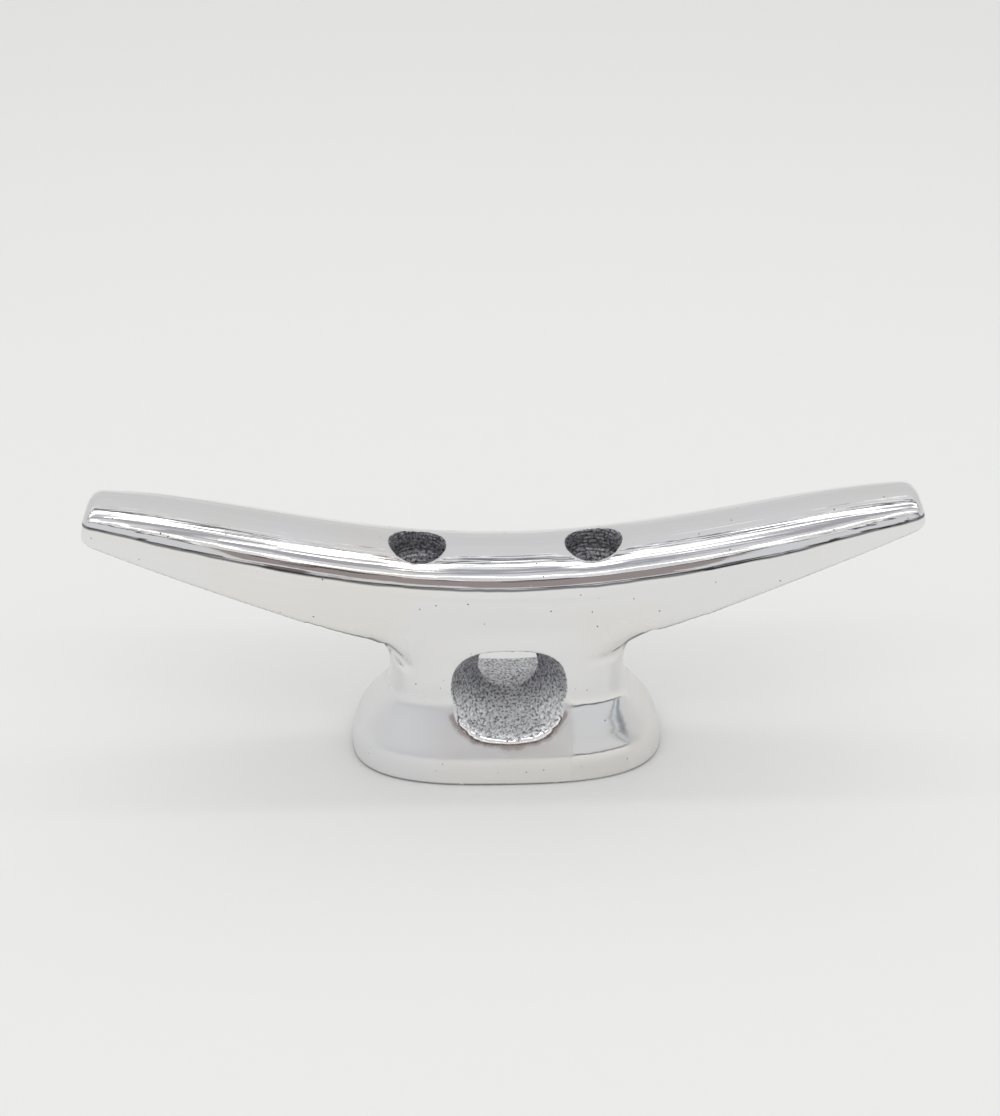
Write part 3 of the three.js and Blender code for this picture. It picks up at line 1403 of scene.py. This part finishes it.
@dataclass
class Card:
    """A painted card round the cleat, which only reflections see.

    It lies on a plane from a foot line to a top line, both given as Y and Z in millimetres. Its ends are in
    millimetres along X. Its edges are shares of the way from the foot line to the top line.
    """

    name: str
    colour: str
    ends: tuple[float, float]
    edges: tuple[float, float]
    layer: int = 0
    foot: tuple[float, float] = (-185.0, 1.0)
    top: tuple[float, float] = (-500.0, 470.0)
    layer_gap: float = 2.0

    def build(self) -> bpy.types.Object:
        """Puts the card up, a little nearer to the cleat for each layer.

        Returns:
            The card.
        """
        bm = bmesh.new()
        bmesh.ops.create_grid(bm, x_segments=1, y_segments=1, size=0.5 * MM)
        rise = (self.top[0] - self.foot[0], self.top[1] - self.foot[1])
        share = mix(*self.edges, 0.5)
        nearer = self.layer_gap * self.layer
        middle = (
            mix(*self.ends, 0.5),
            mix(self.foot[0], self.top[0], share) + nearer,
            mix(self.foot[1], self.top[1], share) + nearer,
        )
        length = math.hypot(*rise) * (self.edges[1] - self.edges[0])
        bmesh.ops.scale(bm, vec=(self.ends[1] - self.ends[0], length, 1.0), verts=bm.verts)
        lean = Matrix.Rotation(math.atan2(rise[1], rise[0]), 3, "X")
        bmesh.ops.rotate(bm, verts=bm.verts, matrix=lean)
        bmesh.ops.translate(bm, vec=Vector(middle) * MM, verts=bm.verts)
        made = piece_of(bm, self.name)
        made.data.materials.append(Glow(f"{self.name}_paint", self.colour, 1.0).build())
        made.visible_camera = False
        made.visible_diffuse = False
        made.visible_shadow = False
        made.visible_transmission = False
        return made


@dataclass
class Studio:
    """The pale floor, the lamps, the dark front of the room and the camera, in millimetres and degrees."""

    floor_side: float = 6000.0
    floor_gap: float = 0.02
    camera_distance: float = 280.0
    camera_elevation: float = 35.3
    camera_azimuth: float = -1.6
    camera_aim: tuple[float, float, float] = (-1.0, 0.0, 43.0)
    camera_lens: float = 48.9
    camera_nearest: float = 10.0
    wall_colours: Sequence[tuple[float, str]] = (
        (0.0, "#DADAD9"),
        (0.3, "#D6D6D7"),
        (0.6, "#D9D9DA"),
        (0.9, "#DEDEE0"),
    )
    cards: Sequence[Card] = (
        Card("front_wall", "#D8DADE", (-900, 900), (0.0, 1.0)),
        Card("front_sill", "#716C6A", (-900, 900), (0.0, 0.06), 1),
        Card("front_figure", "#9A9190", (-55, 45), (0.17, 0.75), 1),
        Card("front_lintel", "#544E4C", (-900, 900), (0.72, 1.0), 2),
        Card("side_post", "#5A5E66", (300, 330), (0.05, 0.72), 2),
        Card("side_shade", "#8C929C", (430, 640), (0.1, 0.85), 3),
        Card("rear_seam_shade", "#77777C", (-900, 900), (0.0, 1.0), 0, (160, 462), (204, 462)),
        Card("lamp_gap", "#AEAEB6", (-900, 900), (0.0, 1.0), 0, (-60, 462), (40, 462)),
    )
    lamps: Sequence[LightPanel] = (
        LightPanel("rear_seam", (0, 222, 465), (1100, 16), 0.45, lights_paper=False),
        LightPanel("rear_glow", (0, 115, 465), (1000, 110), 0.2, lights_paper=False),
        LightPanel("rear_strip", (0, 100, 450), (900, 26), 3.4),
        LightPanel("front_glow", (0, -240, 465), (1000, 130), 0.15, lights_paper=False),
        LightPanel("front_strip", (0, -215, 450), (900, 26), 3.4),
        LightPanel("lintel_line", (0, -430, 465), (1200, 14), 1.0, lights_paper=False),
        LightPanel("floor_wash", (0, 200, 1500), (3000, 3000), 0.36, seen_in_metal=False),
    )

    def floor(self) -> None:
        """Lays the floor."""
        bm = bmesh.new()
        below = Matrix.Translation((0, 0, -self.floor_gap * MM))
        bmesh.ops.create_grid(bm, x_segments=1, y_segments=1, size=self.floor_side / 2 * MM, matrix=below)
        made = piece_of(bm, "floor")
        made.data.materials.append(StudioPaper().build())

    def world(self) -> None:
        """Surrounds the set with pale walls that darken towards the horizon."""
        made = bpy.data.worlds.new("pale_room")
        made.use_nodes = True
        tree = made.node_tree
        tree.nodes.clear()
        place = add_node(tree, "ShaderNodeTexCoord").outputs["Generated"]
        parts = add_node(tree, "ShaderNodeSeparateXYZ", links={"Vector": place})
        wall = add_node(tree, "ShaderNodeValToRGB", links={"Fac": parts.outputs["Z"]})
        set_ramp(wall, self.wall_colours)
        light = add_node(tree, "ShaderNodeBackground", {"Strength": 1.0}, {"Color": wall.outputs["Color"]})
        output = add_node(tree, "ShaderNodeOutputWorld")
        tree.links.new(light.outputs["Background"], output.inputs["Surface"])
        bpy.context.scene.world = made

    def camera(self) -> None:
        """Places the camera in front of the cleat, looking down at it."""
        azimuth, elevation = math.radians(self.camera_azimuth), math.radians(self.camera_elevation)
        back = Vector(
            (
                math.sin(azimuth) * math.cos(elevation),
                -math.cos(azimuth) * math.cos(elevation),
                math.sin(elevation),
            )
        )
        data = bpy.data.cameras.new("camera")
        data.lens = self.camera_lens
        made = bpy.data.objects.new("camera", data)
        made.location = (Vector(self.camera_aim) + back * self.camera_distance) * MM
        made.rotation_euler = (-back).to_track_quat("-Z", "Y").to_euler()
        data.clip_start = self.camera_nearest * MM
        bpy.context.scene.collection.objects.link(made)
        bpy.context.scene.camera = made

    def build(self) -> None:
        """Builds the whole set."""
        self.camera()
        self.floor()
        for card in self.cards:
            card.build()
        self.world()
        for lamp in self.lamps:
            lamp.build()
        bpy.context.scene.view_settings.view_transform = "Standard"


def main() -> None:
    """Builds the studio and the casting and reports them."""
    logging.basicConfig(level=logging.INFO, format="%(name)s: %(message)s")
    Studio().build()
    log.info("studio ready")
    casting = CleatCasting().build()
    log.info("%s: %d faces", casting.name, len(casting.data.polygons))


if __name__ == "__main__":
    main()
